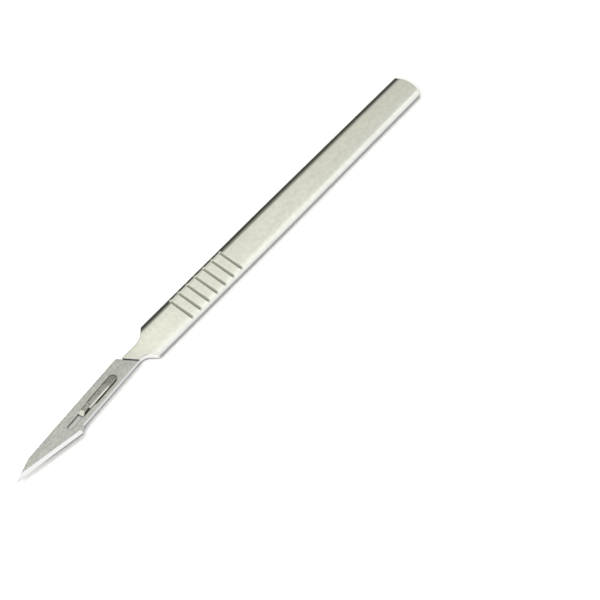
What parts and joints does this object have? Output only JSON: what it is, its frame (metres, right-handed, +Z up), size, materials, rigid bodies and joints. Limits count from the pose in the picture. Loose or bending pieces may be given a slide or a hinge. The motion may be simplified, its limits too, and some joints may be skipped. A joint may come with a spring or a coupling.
{
  "type": "scalpel",
  "caption": "Scalpel with a flat steel handle, cross-grooved grip and a detachable pointed blade held on a bayonet lug.",
  "frame": {"origin": "on the table under the handle's centre line, halfway along the whole scalpel", "axes": "+X along the handle towards its butt (the blade's point is at -X), +Y towards the blade's spine, +Z up out of the face the scalpel lies on"},
  "size_m": [0.1374, 0.0092, 0.0021],
  "materials": {
    "handle_steel": "satin",
    "blade_steel": "fine ground"
  },
  "bodies": {
    "root": {"handle": "handle_steel", "blade": "blade_steel"}
  },
  "joints": []
}
